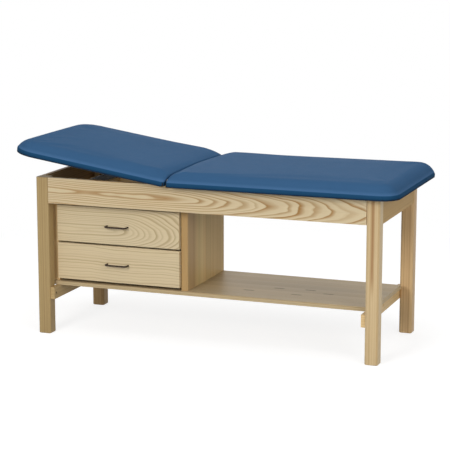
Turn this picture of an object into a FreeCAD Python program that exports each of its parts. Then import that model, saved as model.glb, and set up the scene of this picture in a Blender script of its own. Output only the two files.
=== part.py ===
import FreeCAD, Part
import math
import os

# A wooden treatment table with a padded two-part top, a lifting backrest,
# two drawers under the head half and a full shelf.
# Millimetres. X runs from the head (-) to the foot (+), -Y is the drawer side, Z is up.
# The origin is on the floor, in the middle of the whole footprint.

# Frame of legs and rails
frame_length = 1606.0
frame_depth = 640.0
frame_height = 724.0
leg_side = 60.0
leg_corner_round = 11.0
leg_chamfer = 2.5
rail_height = 117.0
rail_thickness = 19.0
rail_setback = 2.0
rail_edge_round = 1.0
middle_rail_height = 84.0
middle_rail_share = 0.5
joint_rail_offset = 11.0
dowel_radius = 4.0
dowel_length = 56.0
dowel_shares = (0.25, 0.75)
corner_block_reach = 50.0
corner_block_height = 30.0
corner_block_lift = 2.0

# Stretchers and shelf
stretcher_bottom = 161.0
stretcher_height = 56.0
stretcher_thickness = 19.0
stretcher_end_inset = 10.0
bolt_shank_radius = 4.0
bolt_head_radius = 5.5
bolt_head_height = 5.0
bolt_head_recess = 2.0
bolt_length = 55.0
shelf_thickness = 19.0
shelf_setback = 80.0
shelf_back_setback = 105.0
shelf_end_inset = 42.0
shelf_nose = 12.0
shelf_edge_round = 1.5
pocket_radius = 4.5
pocket_angle = 20.0
pocket_shares = (0.12, 0.5, 0.88)
pocket_mouth_depth = 12.0

# Drawer cabinet
cabinet_width = 664.0
cabinet_panel = 31.0
cabinet_top_thickness = 12.0
cabinet_back_thickness = 6.0
cabinet_screw_shares = (0.2, 0.42, 0.8)
cabinet_rail_height = 30.0
cabinet_rail_gap = 6.0

# Drawers
drawer_front_thickness = 19.0
drawer_front_gap = 1.0
drawer_side_gap = 2.0
drawer_end_gap = 14.5
drawer_between_gap = 8.0
drawer_front_round = 1.5
drawer_back_room = 30.0
drawer_wall = 12.0
drawer_box_lift = 14.0
drawer_headroom = 22.0
drawer_bottom_thickness = 6.0
drawer_bottom_lift = 10.0
drawer_groove = 6.0
slide_room = 12.7
slide_back_room = 45.0
slide_height = 35.0
slide_sheet = 1.5
slide_lip = 9.0
slide_clearance = 0.3
slide_front_inset = 4.0
pull_centres = 102.0
pull_radius = 4.0
pull_projection = 33.0
pull_bend = 10.0
pull_screw_radius = 2.0
pull_screw_head_radius = 4.0
pull_screw_head_height = 2.5
pull_screw_grip = 10.0

# Padded top
top_width = 762.0
main_length = 1032.0
back_length = 765.0
foot_overhang = 82.0
joint_gap = 6.0
top_thickness = 60.0
top_crown = 4.0
top_edge_round = 44.0
foot_corner_radius = 82.0
head_corner_radius = 128.0
board_thickness = 18.0
board_wrap = 3.0
back_seat_gap = 0.4
bracket_leg = 30.0
bracket_width = 18.0
bracket_sheet = 2.5
bracket_shares = (0.25, 0.75)

# Joint hinge, a long strip with its knuckles just above the boards
hinge_length = 690.0
hinge_axis_lift = 27.0
hinge_pin_radius = 1.5
hinge_pin_clearance = 0.05
hinge_sheet = 1.5
hinge_knuckles = 15
hinge_knuckle_gap = 0.3
hinge_screws = 8
hinge_screw_length = 17.0
hinge_screw_head_radius = 2.8
hinge_screw_radius = 1.5
hinge_screw_drop = 14.0
hinge_leaf_bottom_gap = 3.0

# Backrest angles in degrees, counted from flat
rest_angle = 8.6
raised_angle = 65.0

# Prop and its racks
prop_reach = 268.0
prop_pivot_drop = 16.0
prop_arm_width = 20.0
prop_arm_thickness = 5.0
prop_rod_radius = 6.0
prop_rod_end_gap = 2.0
prop_pin_radius = 4.0
prop_pin_clearance = 0.05
prop_pin_head_radius = 7.0
prop_pin_head_height = 3.0
prop_side_play = 0.4
ear_thickness = 4.0
ear_width = 26.0
ear_plate_length = 60.0
ear_plate_width = 24.0
ear_plate_thickness = 3.0
ear_offset = 5.0
rack_thickness = 12.0
rack_height = 18.0
rack_clearance = 0.4
rack_end_margin = 22.0
notch_depth = 5.0
notch_play = 0.6
notch_ramp = 12.0
notch_angle_step = 11.0
notch_count = 6
rack_screw_shares = (0.12, 0.5, 0.88)

# Wood screws
screw_head_radius = 4.0
screw_radius = 2.0
screw_tip = 3.0
screw_length = 25.0
long_screw_length = 36.0
cut_margin = 2.0

# Heights that follow from the sizes above
rail_bottom = frame_height - rail_height
shelf_bottom = stretcher_bottom + stretcher_height
shelf_top = shelf_bottom + shelf_thickness
hinge_z = frame_height + hinge_axis_lift

# Places along the table: the hinge sits so that the footprint is centred on the origin
rest_radians = math.radians(rest_angle)
knuckle_radius = joint_gap / 2
head_reach = (back_length + knuckle_radius) * math.cos(rest_radians)
head_reach = head_reach + (hinge_axis_lift - back_seat_gap) * math.sin(rest_radians)
foot_reach = main_length + knuckle_radius
hinge_x = (head_reach - foot_reach) / 2
frame_foot = hinge_x + foot_reach - foot_overhang
frame_head = frame_foot - frame_length
frame_front = -frame_depth / 2
frame_back = frame_depth / 2

# Inner faces of the rails and aprons
rail_front_inner = frame_front + rail_setback + rail_thickness
rail_back_inner = -rail_front_inner
apron_head_inner = frame_head + rail_setback + rail_thickness
apron_foot_inner = frame_foot - rail_setback - rail_thickness

# Cabinet and shelf
shelf_head = frame_head + shelf_end_inset
shelf_foot = frame_foot - shelf_end_inset
shelf_front = frame_front + shelf_setback
shelf_back = frame_back - shelf_back_setback
shelf_depth = shelf_back - shelf_front
cabinet_back_face = shelf_back - cabinet_back_thickness
cabinet_head = shelf_head
cabinet_foot = cabinet_head + cabinet_width
cabinet_inner_head = cabinet_head + cabinet_panel
cabinet_inner_foot = cabinet_foot - cabinet_panel
cabinet_middle = (cabinet_head + cabinet_foot) / 2

# Drawer places
drawer_back_face = shelf_front - drawer_front_gap
drawer_front_face = drawer_back_face - drawer_front_thickness
drawer_clear_height = rail_bottom - shelf_top - 2 * drawer_end_gap - drawer_between_gap
drawer_front_height = drawer_clear_height / 2
lower_drawer_bottom = shelf_top + drawer_end_gap
upper_drawer_bottom = lower_drawer_bottom + drawer_front_height + drawer_between_gap
drawer_box_height = drawer_front_height - drawer_box_lift - drawer_headroom

# The prop's foot runs on a straight line through the hinge axis, because
# the prop is as long as its pivot is far from that axis.
pivot_fall = hinge_axis_lift - back_seat_gap + prop_pivot_drop
prop_length = math.hypot(prop_reach, pivot_fall)
foot_line_angle = math.atan2(pivot_fall, prop_reach)
pivot_flat_x = hinge_x - prop_reach
pivot_flat_z = hinge_z - pivot_fall

Vector = FreeCAD.Vector
axis_x = Vector(1, 0, 0)
axis_y = Vector(0, 1, 0)
axis_z = Vector(0, 0, 1)


def block(low, high):
    size = [high[i] - low[i] for i in range(3)]
    return Part.makeBox(size[0], size[1], size[2], Vector(*low))


def rod(start, end, radius):
    along = Vector(*end) - Vector(*start)
    return Part.makeCylinder(radius, along.Length, Vector(*start), along)


def turned(profile, base, direction):
    """A solid of revolution: profile is a list of (radius, height) points."""
    points = [Vector(radius, 0, height) for radius, height in profile]
    face = Part.Face(Part.makePolygon(points + [points[0]]))
    solid = face.revolve(Vector(0, 0, 0), axis_z, 360)
    turn = FreeCAD.Rotation(axis_z, Vector(*direction))
    solid.Placement = FreeCAD.Placement(Vector(*base), turn)
    return solid


def wood_screw(base, direction, length, head_radius=screw_head_radius, radius=screw_radius):
    """A countersunk screw whose head is flush at base and which points along direction."""
    head_depth = head_radius - radius
    profile = [(0, 0), (head_radius, 0), (radius, head_depth), (radius, length - screw_tip), (0, length)]
    return turned(profile, base, direction)


def prism(outline, y_low, y_high):
    """An outline in X and Z, as a list of pairs, drawn out along Y."""
    points = [Vector(x, y_low, z) for x, z in outline]
    face = Part.Face(Part.makePolygon(points + [points[0]]))
    return face.extrude(Vector(0, y_high - y_low, 0))


def group(solids):
    return Part.makeCompound(solids)


def cut_by(piece, tools):
    return piece.cut(group(tools))


def rounded_edges(piece, radius, picks):
    """Rounds the straight edges whose middle the function picks says yes to."""
    edges = []
    for edge in piece.Edges:
        middle = edge.CenterOfMass
        if picks(middle):
            edges.append(edge)
    return piece.makeFillet(radius, edges)


def near(value, target):
    return abs(value - target) < 1e-6


def mirror_y(shape):
    return shape.mirror(Vector(0, 0, 0), axis_y)


def with_back(shape):
    """The same piece at the front and at the back of the table."""
    return [shape, mirror_y(shape)]


# Frame


def leg(head_end, front_side):
    x = frame_head if head_end else frame_foot - leg_side
    y = frame_front if front_side else frame_back - leg_side
    body = block((x, y, 0), (x + leg_side, y + leg_side, frame_height))
    upright_edges = [edge for edge in body.Edges if near(edge.BoundBox.ZLength, frame_height)]
    body = body.makeFillet(leg_corner_round, upright_edges)
    foot_edges = [edge for edge in body.Edges if near(edge.BoundBox.ZMax, 0)]
    return body.makeChamfer(leg_chamfer, foot_edges)


def long_rail():
    low = (frame_head + leg_side, frame_front + rail_setback, rail_bottom)
    high = (frame_foot - leg_side, rail_front_inner, frame_height)
    body = block(low, high)
    return rounded_edges(body, rail_edge_round, lambda m: near(m.y, low[1]) and near(m.x, (low[0] + high[0]) / 2))


def apron(head_end):
    x_low = frame_head + rail_setback if head_end else apron_foot_inner
    low = (x_low, frame_front + leg_side, rail_bottom)
    high = (x_low + rail_thickness, frame_back - leg_side, frame_height)
    return block(low, high)


def cross_rail(x_low, z_low, z_high):
    return block((x_low, rail_front_inner, z_low), (x_low + rail_thickness, rail_back_inner, z_high))


def corner_block(head_end):
    """Fills the corner behind a front leg, with the leg's own corner cut out."""
    leg_face_x = leg_side
    leg_face_y = leg_side
    inner = rail_setback + rail_thickness
    reach_x = leg_face_x + corner_block_reach
    reach_y = leg_face_y + corner_block_reach
    outline = [(leg_face_x, inner), (reach_x, inner), (inner, reach_y), (inner, leg_face_y), (leg_face_x, leg_face_y)]
    z = rail_bottom + corner_block_lift
    points = []
    for dx, dy in outline:
        x = frame_head + dx if head_end else frame_foot - dx
        points.append(Vector(x, frame_front + dy, z))
    face = Part.Face(Part.makePolygon(points + [points[0]]))
    return face.extrude(Vector(0, 0, corner_block_height))


def corner_block_screws(head_end):
    """One screw into the long rail and one into the apron, and the drilled ways to their heads."""
    z = rail_bottom + corner_block_lift + corner_block_height / 2
    along = leg_side + corner_block_reach / 4
    face = leg_side + corner_block_reach + rail_setback + rail_thickness - along
    depth = face - screw_head_radius
    side = 1 if head_end else -1
    end = frame_head if head_end else frame_foot
    to_rail = (end + side * along, frame_front + depth, z)
    to_apron = (end + side * depth, frame_front + along, z)
    screws = [wood_screw(to_rail, (0, -1, 0), screw_length), wood_screw(to_apron, (-side, 0, 0), screw_length)]
    clear = face + screw_head_radius + cut_margin
    ways = [
        rod(to_rail, (to_rail[0], frame_front + clear, z), screw_head_radius),
        rod(to_apron, (end + side * clear, to_apron[1], z), screw_head_radius),
    ]
    return screws, ways


def cross_rail_places():
    """Name, low X, low Z and top of each rail that runs from front to back."""
    joint_low = hinge_x + joint_rail_offset
    span = apron_foot_inner - joint_low
    middle_low = joint_low + span * middle_rail_share
    cabinet_low = frame_head + leg_side + corner_block_reach + cabinet_rail_gap
    return [
        ("joint_rail", joint_low, rail_bottom, frame_height),
        ("middle_rail", middle_low, frame_height - middle_rail_height, frame_height),
        ("cabinet_rail", cabinet_low, rail_bottom, rail_bottom + cabinet_rail_height),
    ]


def rail_dowels():
    """Dowels from the rails and aprons into the legs, and from the cross rails into the long rails."""
    pins = []
    half = dowel_length / 2
    for share in dowel_shares:
        z = rail_bottom + rail_height * share
        rail_y = frame_front + rail_setback + rail_thickness / 2
        for joint_x in (frame_head + leg_side, frame_foot - leg_side):
            pins += with_back(rod((joint_x - half, rail_y, z), (joint_x + half, rail_y, z), dowel_radius))
        joint_y = frame_front + leg_side
        for apron_x in (frame_head + rail_setback + rail_thickness / 2, frame_foot - rail_setback - rail_thickness / 2):
            pins += with_back(rod((apron_x, joint_y - half, z), (apron_x, joint_y + half, z), dowel_radius))
    blind = rail_thickness * 2 / 3
    for name, x_low, z_low, z_high in cross_rail_places():
        x = x_low + rail_thickness / 2
        for share in dowel_shares:
            z = z_low + (z_high - z_low) * share
            start = (x, rail_front_inner - blind, z)
            end = (x, rail_front_inner + half, z)
            pins += with_back(rod(start, end, dowel_radius))
    return pins


# Stretchers and shelf


def stretcher(head_end):
    x_low = frame_head + leg_side if head_end else frame_foot - leg_side - stretcher_thickness
    low = (x_low, frame_front + stretcher_end_inset, stretcher_bottom)
    high = (x_low + stretcher_thickness, frame_back - stretcher_end_inset, shelf_bottom)
    return block(low, high)


def stretcher_bolt(head_end):
    """A cap screw through the stretcher into a front leg, and the drilled way to its head."""
    side = 1 if head_end else -1
    face = frame_head + leg_side + stretcher_thickness if head_end else frame_foot - leg_side - stretcher_thickness
    y = frame_front + leg_side / 2
    z = stretcher_bottom + stretcher_height / 2
    head = face - side * bolt_head_recess
    seat = bolt_head_height
    socket = bolt_shank_radius / 2
    profile = [(0, seat / 2), (socket, seat / 2), (socket, 0), (bolt_head_radius, 0), (bolt_head_radius, seat)]
    profile += [(bolt_shank_radius, seat), (bolt_shank_radius, bolt_length), (0, bolt_length)]
    bolt = turned(profile, (head, y, z), (-side, 0, 0))
    drilled = turned([(0, 0), (bolt_head_radius, 0), (bolt_head_radius, seat), (0, seat)], (head, y, z), (-side, 0, 0))
    mouth = rod((head, y, z), (face + side * cut_margin, y, z), bolt_head_radius)
    return bolt, [drilled, mouth]


def shelf_board():
    """The shelf stands a little proud of the cabinet that is on it."""
    body = block((shelf_head, shelf_front - shelf_nose, shelf_bottom), (shelf_foot, shelf_back, shelf_top))
    middle = (shelf_head + shelf_foot) / 2
    return rounded_edges(body, shelf_edge_round, lambda m: near(m.x, middle))


def shelf_pocket(head_end, share):
    """A slanted screw from the stretcher's outer face up into the shelf, and its pocket."""
    side = 1 if head_end else -1
    outer = frame_head + leg_side if head_end else frame_foot - leg_side
    slant = math.radians(pocket_angle)
    direction = Vector(side * math.sin(slant), 0, math.cos(slant))
    y = shelf_front + shelf_depth * share
    aim = Vector(outer + side * stretcher_thickness / 2, y, shelf_bottom)
    reach = pocket_mouth_depth / math.sin(slant) / 2
    seat = aim - direction * reach / 2
    shank = screw_radius
    head_height = pull_screw_head_height
    length = reach / 2 + shelf_thickness / 2
    profile = [(0, 0), (screw_head_radius, 0), (screw_head_radius, head_height), (shank, head_height)]
    profile += [(shank, length + head_height), (0, length + head_height)]
    base = seat - direction * head_height
    screw = turned(profile, tuple(base), tuple(direction))
    way = pocket_mouth_depth / math.sin(slant) + stretcher_height
    pocket = rod(tuple(seat - direction * way), tuple(seat), pocket_radius)
    return screw, pocket


# Drawer cabinet


def cabinet_side(head_end):
    x_low = cabinet_head if head_end else cabinet_inner_foot
    return block((x_low, shelf_front, shelf_top), (x_low + cabinet_panel, shelf_back, rail_bottom))


def cabinet_top():
    low = (cabinet_inner_head, shelf_front, rail_bottom - cabinet_top_thickness)
    high = (cabinet_inner_foot, cabinet_back_face, rail_bottom)
    return block(low, high)


def cabinet_back():
    low = (cabinet_inner_head, cabinet_back_face, shelf_top)
    return block(low, (cabinet_inner_foot, shelf_back, rail_bottom))


def cabinet_screws():
    """Up through the shelf into both sides, and up through the top into the two rails over it."""
    screws = []
    rails_low = [x_low for name, x_low, z_low, z_high in cross_rail_places() if name != "middle_rail"]
    for share in cabinet_screw_shares:
        y = shelf_front + shelf_depth * share
        for x in (cabinet_head + cabinet_panel / 2, cabinet_foot - cabinet_panel / 2):
            screws.append(wood_screw((x, y, shelf_bottom), (0, 0, 1), long_screw_length))
        for x_low in rails_low:
            x = x_low + rail_thickness / 2
            screws.append(wood_screw((x, y, rail_bottom - cabinet_top_thickness), (0, 0, 1), long_screw_length))
    return screws


# Drawers


def slide_centre(bottom):
    return bottom + drawer_box_lift + drawer_box_height / 2


def channel(x_web, x_lip, half_height, y_low, y_high, centre_z):
    """A folded steel channel: a web at x_web whose two lips reach to x_lip."""
    side = 1 if x_lip > x_web else -1
    outer = block(
        (min(x_web, x_lip), y_low, centre_z - half_height), (max(x_web, x_lip), y_high, centre_z + half_height)
    )
    hollow_x = sorted((x_web + side * slide_sheet, x_lip + side * cut_margin))
    hollow = block(
        (hollow_x[0], y_low - cut_margin, centre_z - half_height + slide_sheet),
        (hollow_x[1], y_high + cut_margin, centre_z + half_height - slide_sheet),
    )
    return outer.cut(hollow)


def fixed_slides(bottom):
    """The two channels on the cabinet's sides for one drawer."""
    y_low = shelf_front + slide_front_inset
    y_high = cabinet_back_face - slide_back_room
    z = slide_centre(bottom)
    half = slide_height / 2
    reach = slide_sheet + slide_lip
    head = channel(cabinet_inner_head, cabinet_inner_head + reach, half, y_low, y_high, z)
    foot = channel(cabinet_inner_foot, cabinet_inner_foot - reach, half, y_low, y_high, z)
    return [head, foot]


def moving_slides(bottom):
    """The two channels on the drawer's sides, which run inside the fixed ones."""
    y_low = shelf_front + slide_front_inset
    y_high = cabinet_back_face - slide_back_room
    z = slide_centre(bottom)
    half = slide_height / 2 - slide_sheet - slide_clearance
    head_face = cabinet_inner_head + slide_room
    foot_face = cabinet_inner_foot - slide_room
    lip = slide_room - 2 * slide_sheet
    head = channel(head_face, head_face - lip, half, y_low, y_high, z)
    foot = channel(foot_face, foot_face + lip, half, y_low, y_high, z)
    return [head, foot]


def pull_shape(bottom):
    """A bent rod: two legs out of the drawer front, joined by a straight grip."""
    z = bottom + drawer_front_height / 2
    x_low = cabinet_middle - pull_centres / 2
    x_high = cabinet_middle + pull_centres / 2
    root = drawer_front_face
    grip = root - pull_projection + pull_radius
    corner = pull_bend * (1 - math.sqrt(0.5))
    start = Vector(x_low, root, z)
    leg_end = Vector(x_low, grip + pull_bend, z)
    bend_middle = Vector(x_low + corner, grip + corner, z)
    grip_start = Vector(x_low + pull_bend, grip, z)
    grip_end = Vector(x_high - pull_bend, grip, z)
    far_middle = Vector(x_high - corner, grip + corner, z)
    far_leg = Vector(x_high, grip + pull_bend, z)
    end = Vector(x_high, root, z)
    edges = [
        Part.LineSegment(start, leg_end).toShape(),
        Part.Arc(leg_end, bend_middle, grip_start).toShape(),
        Part.LineSegment(grip_start, grip_end).toShape(),
        Part.Arc(grip_end, far_middle, far_leg).toShape(),
        Part.LineSegment(far_leg, end).toShape(),
    ]
    section = Part.Wire([Part.makeCircle(pull_radius, start, axis_y)])
    return Part.Wire(edges).makePipeShell([section], True, False)


def pull_screws(bottom):
    """Pan-head screws from inside the drawer through its front into the pull."""
    z = bottom + drawer_front_height / 2
    head = pull_screw_head_height
    length = head + drawer_front_thickness + pull_screw_grip
    profile = [(0, 0), (pull_screw_head_radius, 0), (pull_screw_head_radius, head), (pull_screw_radius, head)]
    profile += [(pull_screw_radius, length), (0, length)]
    screws = []
    for side in (-1, 1):
        x = cabinet_middle + side * pull_centres / 2
        screws.append(turned(profile, (x, drawer_back_face + head, z), (0, -1, 0)))
    return screws


def drawer(name, bottom):
    """All the pieces of one drawer, by node name."""
    box_low_x = cabinet_inner_head + slide_room
    box_high_x = cabinet_inner_foot - slide_room
    box_bottom = bottom + drawer_box_lift
    box_top = box_bottom + drawer_box_height
    box_back = cabinet_back_face - drawer_back_room
    joint = drawer_back_face - drawer_groove
    front_low = (cabinet_inner_head + drawer_side_gap, drawer_front_face, bottom)
    front_high = (cabinet_inner_foot - drawer_side_gap, drawer_back_face, bottom + drawer_front_height)
    front = block(front_low, front_high)
    front = rounded_edges(front, drawer_front_round, lambda m: near(m.y, drawer_front_face))
    side_head = block((box_low_x, joint, box_bottom), (box_low_x + drawer_wall, box_back, box_top))
    side_foot = block((box_high_x - drawer_wall, joint, box_bottom), (box_high_x, box_back, box_top))
    panel_low = box_bottom + drawer_bottom_lift
    panel_high = panel_low + drawer_bottom_thickness
    low = (box_low_x + drawer_wall - drawer_groove, joint, panel_low)
    high = (box_high_x - drawer_wall + drawer_groove, box_back, panel_high)
    panel = block(low, high)
    inner_low = box_low_x + drawer_wall
    inner_high = box_high_x - drawer_wall
    back = block((inner_low, box_back - drawer_wall, panel_high), (inner_high, box_back, box_top))
    screws = pull_screws(bottom)
    pull = cut_by(pull_shape(bottom), screws)
    front = cut_by(front, [side_head, side_foot, panel] + screws)
    return {
        name + "_front": front,
        name + "_side_head": side_head.cut(panel),
        name + "_side_foot": side_foot.cut(panel),
        name + "_back": back,
        name + "_bottom": panel,
        name + "_pull": pull,
        name + "_pull_screws": group(screws),
        name + "_slides": group(moving_slides(bottom)),
    }


# Padded top


def plan_face(joint_x, end_x, half_width, corner, z):
    """The top's outline: square at the joint, round at the outer corners."""
    side = 1 if end_x > joint_x else -1
    inset = corner * (1 - math.sqrt(0.5))
    turn_x = end_x - side * corner
    front_turn = Vector(turn_x, -half_width, z)
    front_mid = Vector(end_x - side * inset, -half_width + inset, z)
    front_end = Vector(end_x, -half_width + corner, z)
    back_end = Vector(end_x, half_width - corner, z)
    back_mid = Vector(end_x - side * inset, half_width - inset, z)
    back_turn = Vector(turn_x, half_width, z)
    joint_back = Vector(joint_x, half_width, z)
    joint_front = Vector(joint_x, -half_width, z)
    edges = [
        Part.LineSegment(joint_front, front_turn).toShape(),
        Part.Arc(front_turn, front_mid, front_end).toShape(),
        Part.LineSegment(front_end, back_end).toShape(),
        Part.Arc(back_end, back_mid, back_turn).toShape(),
        Part.LineSegment(back_turn, joint_back).toShape(),
        Part.LineSegment(joint_back, joint_front).toShape(),
    ]
    return Part.Face(Part.Wire(edges))


def outer_corner(side):
    return foot_corner_radius if side > 0 else head_corner_radius


def board_shape(joint_x, end_x, z):
    side = 1 if end_x > joint_x else -1
    start = joint_x + side * board_wrap
    end = end_x - side * board_wrap
    face = plan_face(start, end, top_width / 2 - board_wrap, outer_corner(side) - board_wrap, z)
    return face.extrude(Vector(0, 0, board_thickness))


def crowned_body(joint_x, end_x, z):
    """The outer form of a cushion: straight sides, a crowned top and well rounded upper edges."""
    half = top_width / 2
    side = 1 if end_x > joint_x else -1
    face = plan_face(joint_x, end_x, half, outer_corner(side), z)
    body = face.extrude(Vector(0, 0, top_thickness * 2))
    crown_radius = (half * half + top_crown * top_crown) / (2 * top_crown)
    wide = half + cut_margin
    edge_height = z + top_thickness - crown_radius + math.sqrt(crown_radius * crown_radius - wide * wide)
    x_start = min(joint_x, end_x) - cut_margin
    x_span = abs(end_x - joint_x) + 2 * cut_margin
    left = Vector(x_start, -wide, z)
    right = Vector(x_start, wide, z)
    left_top = Vector(x_start, -wide, edge_height)
    right_top = Vector(x_start, wide, edge_height)
    summit = Vector(x_start, 0, z + top_thickness)
    edges = [
        Part.LineSegment(left, right).toShape(),
        Part.LineSegment(right, right_top).toShape(),
        Part.Arc(right_top, summit, left_top).toShape(),
        Part.LineSegment(left_top, left).toShape(),
    ]
    under_crown = Part.Face(Part.Wire(edges)).extrude(Vector(x_span, 0, 0))
    body = body.common(under_crown)
    lowest_rim = z + top_thickness - top_crown - cut_margin
    rim = [edge for edge in body.Edges if edge.BoundBox.ZMin > lowest_rim]
    return body.makeFillet(top_edge_round, rim)


def board_bracket(share):
    """A steel angle that holds the main board to the front rail, with its two screws."""
    joint_low = hinge_x + joint_rail_offset
    middle = joint_low + (apron_foot_inner - joint_low) * share
    low_x = middle - bracket_width / 2
    high_x = middle + bracket_width / 2
    inner = rail_front_inner
    upright = block((low_x, inner, frame_height - bracket_leg), (high_x, inner + bracket_sheet, frame_height))
    flat = block((low_x, inner, frame_height - bracket_sheet), (high_x, inner + bracket_leg, frame_height))
    up = wood_screw(
        (middle, inner + bracket_leg * 2 / 3, frame_height - bracket_sheet), (0, 0, 1), board_thickness
    )
    into = wood_screw(
        (middle, inner + bracket_sheet, frame_height - bracket_leg * 2 / 3), (0, -1, 0), rail_thickness
    )
    return upright.fuse(flat).removeSplitter(), [up, into]


# Hinge


def hinge_leaf(foot_side):
    """One leaf of the long hinge. Its plate stands on a board's end, its knuckles sit on the axis."""
    side = 1 if foot_side else -1
    first = 0 if foot_side else 1
    half = hinge_length / 2
    pitch = hinge_length / hinge_knuckles
    plate_x = sorted((hinge_x + side * knuckle_radius, hinge_x + side * (knuckle_radius - hinge_sheet)))
    plate_bottom = frame_height + hinge_leaf_bottom_gap
    plate_top = hinge_z - knuckle_radius - back_seat_gap
    leaf = block((plate_x[0], -half, plate_bottom), (plate_x[1], half, plate_top))
    for number in range(first, hinge_knuckles, 2):
        y_low = -half + number * pitch + hinge_knuckle_gap / 2
        y_high = y_low + pitch - hinge_knuckle_gap
        neck = block((plate_x[0], y_low, plate_bottom), (plate_x[1], y_high, hinge_z))
        barrel = rod((hinge_x, y_low, hinge_z), (hinge_x, y_high, hinge_z), knuckle_radius)
        leaf = leaf.fuse(neck).fuse(barrel)
    bore_radius = hinge_pin_radius + hinge_pin_clearance
    bore = rod((hinge_x, -half - cut_margin, hinge_z), (hinge_x, half + cut_margin, hinge_z), bore_radius)
    return leaf.cut(bore).removeSplitter()


def leaf_screws(foot_side):
    side = 1 if foot_side else -1
    x = hinge_x + side * (knuckle_radius - hinge_sheet)
    z = hinge_z - hinge_screw_drop
    pitch = hinge_length / hinge_screws
    screws = []
    for number in range(hinge_screws):
        y = -hinge_length / 2 + (number + 0.5) * pitch
        screws.append(wood_screw((x, y, z), (side, 0, 0), hinge_screw_length, hinge_screw_head_radius, hinge_screw_radius))
    return screws


# Prop: built with the backrest flat, at the front; the back one is its mirror image


ear_y = rail_front_inner + rack_thickness + ear_offset
arm_y = ear_y + ear_thickness + prop_side_play
back_underside = frame_height + back_seat_gap


def on_foot_line(along, above):
    """A place measured from the hinge axis along the foot's line and square to it."""
    cosine = math.cos(foot_line_angle)
    sine = math.sin(foot_line_angle)
    x = hinge_x - along * cosine - above * sine
    z = hinge_z - along * sine + above * cosine
    return x, z


def prop_ear():
    """A plate under the backrest board with an ear that carries the prop's pin."""
    plate = block(
        (pivot_flat_x - ear_plate_length / 2, ear_y, back_underside - ear_plate_thickness),
        (pivot_flat_x + ear_plate_length / 2, ear_y + ear_plate_width, back_underside),
    )
    ear = block(
        (pivot_flat_x - ear_width / 2, ear_y, pivot_flat_z),
        (pivot_flat_x + ear_width / 2, ear_y + ear_thickness, back_underside),
    )
    tip = rod((pivot_flat_x, ear_y, pivot_flat_z), (pivot_flat_x, ear_y + ear_thickness, pivot_flat_z), ear_width / 2)
    hole = rod(
        (pivot_flat_x, ear_y - cut_margin, pivot_flat_z),
        (pivot_flat_x, ear_y + ear_thickness + cut_margin, pivot_flat_z),
        prop_pin_radius + prop_pin_clearance,
    )
    return plate.fuse(ear).fuse(tip).cut(hole).removeSplitter()


def prop_ear_screws():
    screws = []
    for side in (-1, 1):
        x = pivot_flat_x + side * (ear_plate_length / 2 - screw_head_radius * 2)
        y = ear_y + ear_plate_width / 2
        z = back_underside - ear_plate_thickness
        screws.append(wood_screw((x, y, z), (0, 0, 1), board_thickness))
    return screws


def prop_pin():
    """A headed pin through the ear and the arm, with its tail spread inside the arm."""
    shank = ear_thickness + prop_side_play * 2 + prop_arm_thickness
    head = prop_pin_head_height
    profile = [(0, 0), (prop_pin_head_radius, 0), (prop_pin_head_radius, head), (prop_pin_radius, head)]
    profile += [(prop_pin_radius, head + shank), (prop_pin_head_radius, head + shank)]
    profile += [(prop_pin_head_radius, 2 * head + shank), (0, 2 * head + shank)]
    return turned(profile, (pivot_flat_x, ear_y - head, pivot_flat_z), (0, 1, 0))


def prop_arm():
    """A flat bar with an eye at each end, lying along the foot's line."""
    half = prop_arm_width / 2
    corners = [(prop_length, half), (2 * prop_length, half), (2 * prop_length, -half), (prop_length, -half)]
    outline = [on_foot_line(along, above) for along, above in corners]
    bar = prism(outline, arm_y, arm_y + prop_arm_thickness)
    foot_x, foot_z = on_foot_line(2 * prop_length, 0)
    for x, z in ((pivot_flat_x, pivot_flat_z), (foot_x, foot_z)):
        bar = bar.fuse(rod((x, arm_y, z), (x, arm_y + prop_arm_thickness, z), half))
    hole = rod(
        (pivot_flat_x, arm_y - cut_margin, pivot_flat_z),
        (pivot_flat_x, arm_y + prop_arm_thickness + cut_margin, pivot_flat_z),
        prop_pin_radius + prop_pin_clearance,
    )
    return bar.cut(hole).removeSplitter()


def prop_rod():
    foot_x, foot_z = on_foot_line(2 * prop_length, 0)
    end = rail_back_inner - prop_rod_end_gap
    return rod((foot_x, -end, foot_z), (foot_x, end, foot_z), prop_rod_radius)


def rack_shape():
    """A notched strip on the inside of the front rail, just under the foot's line."""
    crest = -prop_rod_radius - rack_clearance
    nearest = 2 * prop_length * math.cos(math.radians(raised_angle)) - rack_end_margin
    farthest = 2 * prop_length + prop_rod_radius + rack_clearance
    corners = [(nearest, crest), (farthest, crest), (farthest, crest - rack_height), (nearest, crest - rack_height)]
    strip = prism([on_foot_line(*corner) for corner in corners], rail_front_inner, rail_front_inner + rack_thickness)
    half = prop_rod_radius + notch_play
    floor = crest - notch_depth
    mouth = crest + cut_margin
    ramp = notch_ramp * (notch_depth + cut_margin) / notch_depth
    cuts = []
    for number in range(notch_count):
        angle = math.radians(rest_angle + number * notch_angle_step)
        seat = 2 * prop_length * math.cos(angle)
        notch = [(seat + half, mouth), (seat + half, floor), (seat - half, floor), (seat - half - ramp, mouth)]
        outline = [on_foot_line(*corner) for corner in notch]
        cuts.append(prism(outline, rail_front_inner - cut_margin, rail_front_inner + rack_thickness + cut_margin))
    return cut_by(strip, cuts)


def rack_screws():
    crest = -prop_rod_radius - rack_clearance
    nearest = 2 * prop_length * math.cos(math.radians(raised_angle)) - rack_end_margin
    farthest = 2 * prop_length + prop_rod_radius + rack_clearance
    screws = []
    for share in rack_screw_shares:
        along = nearest + (farthest - nearest) * share
        x, z = on_foot_line(along, crest - (rack_height + notch_depth) / 2)
        screws.append(wood_screw((x, rail_front_inner + rack_thickness, z), (0, -1, 0), screw_length))
    return screws


# Assembly


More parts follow.
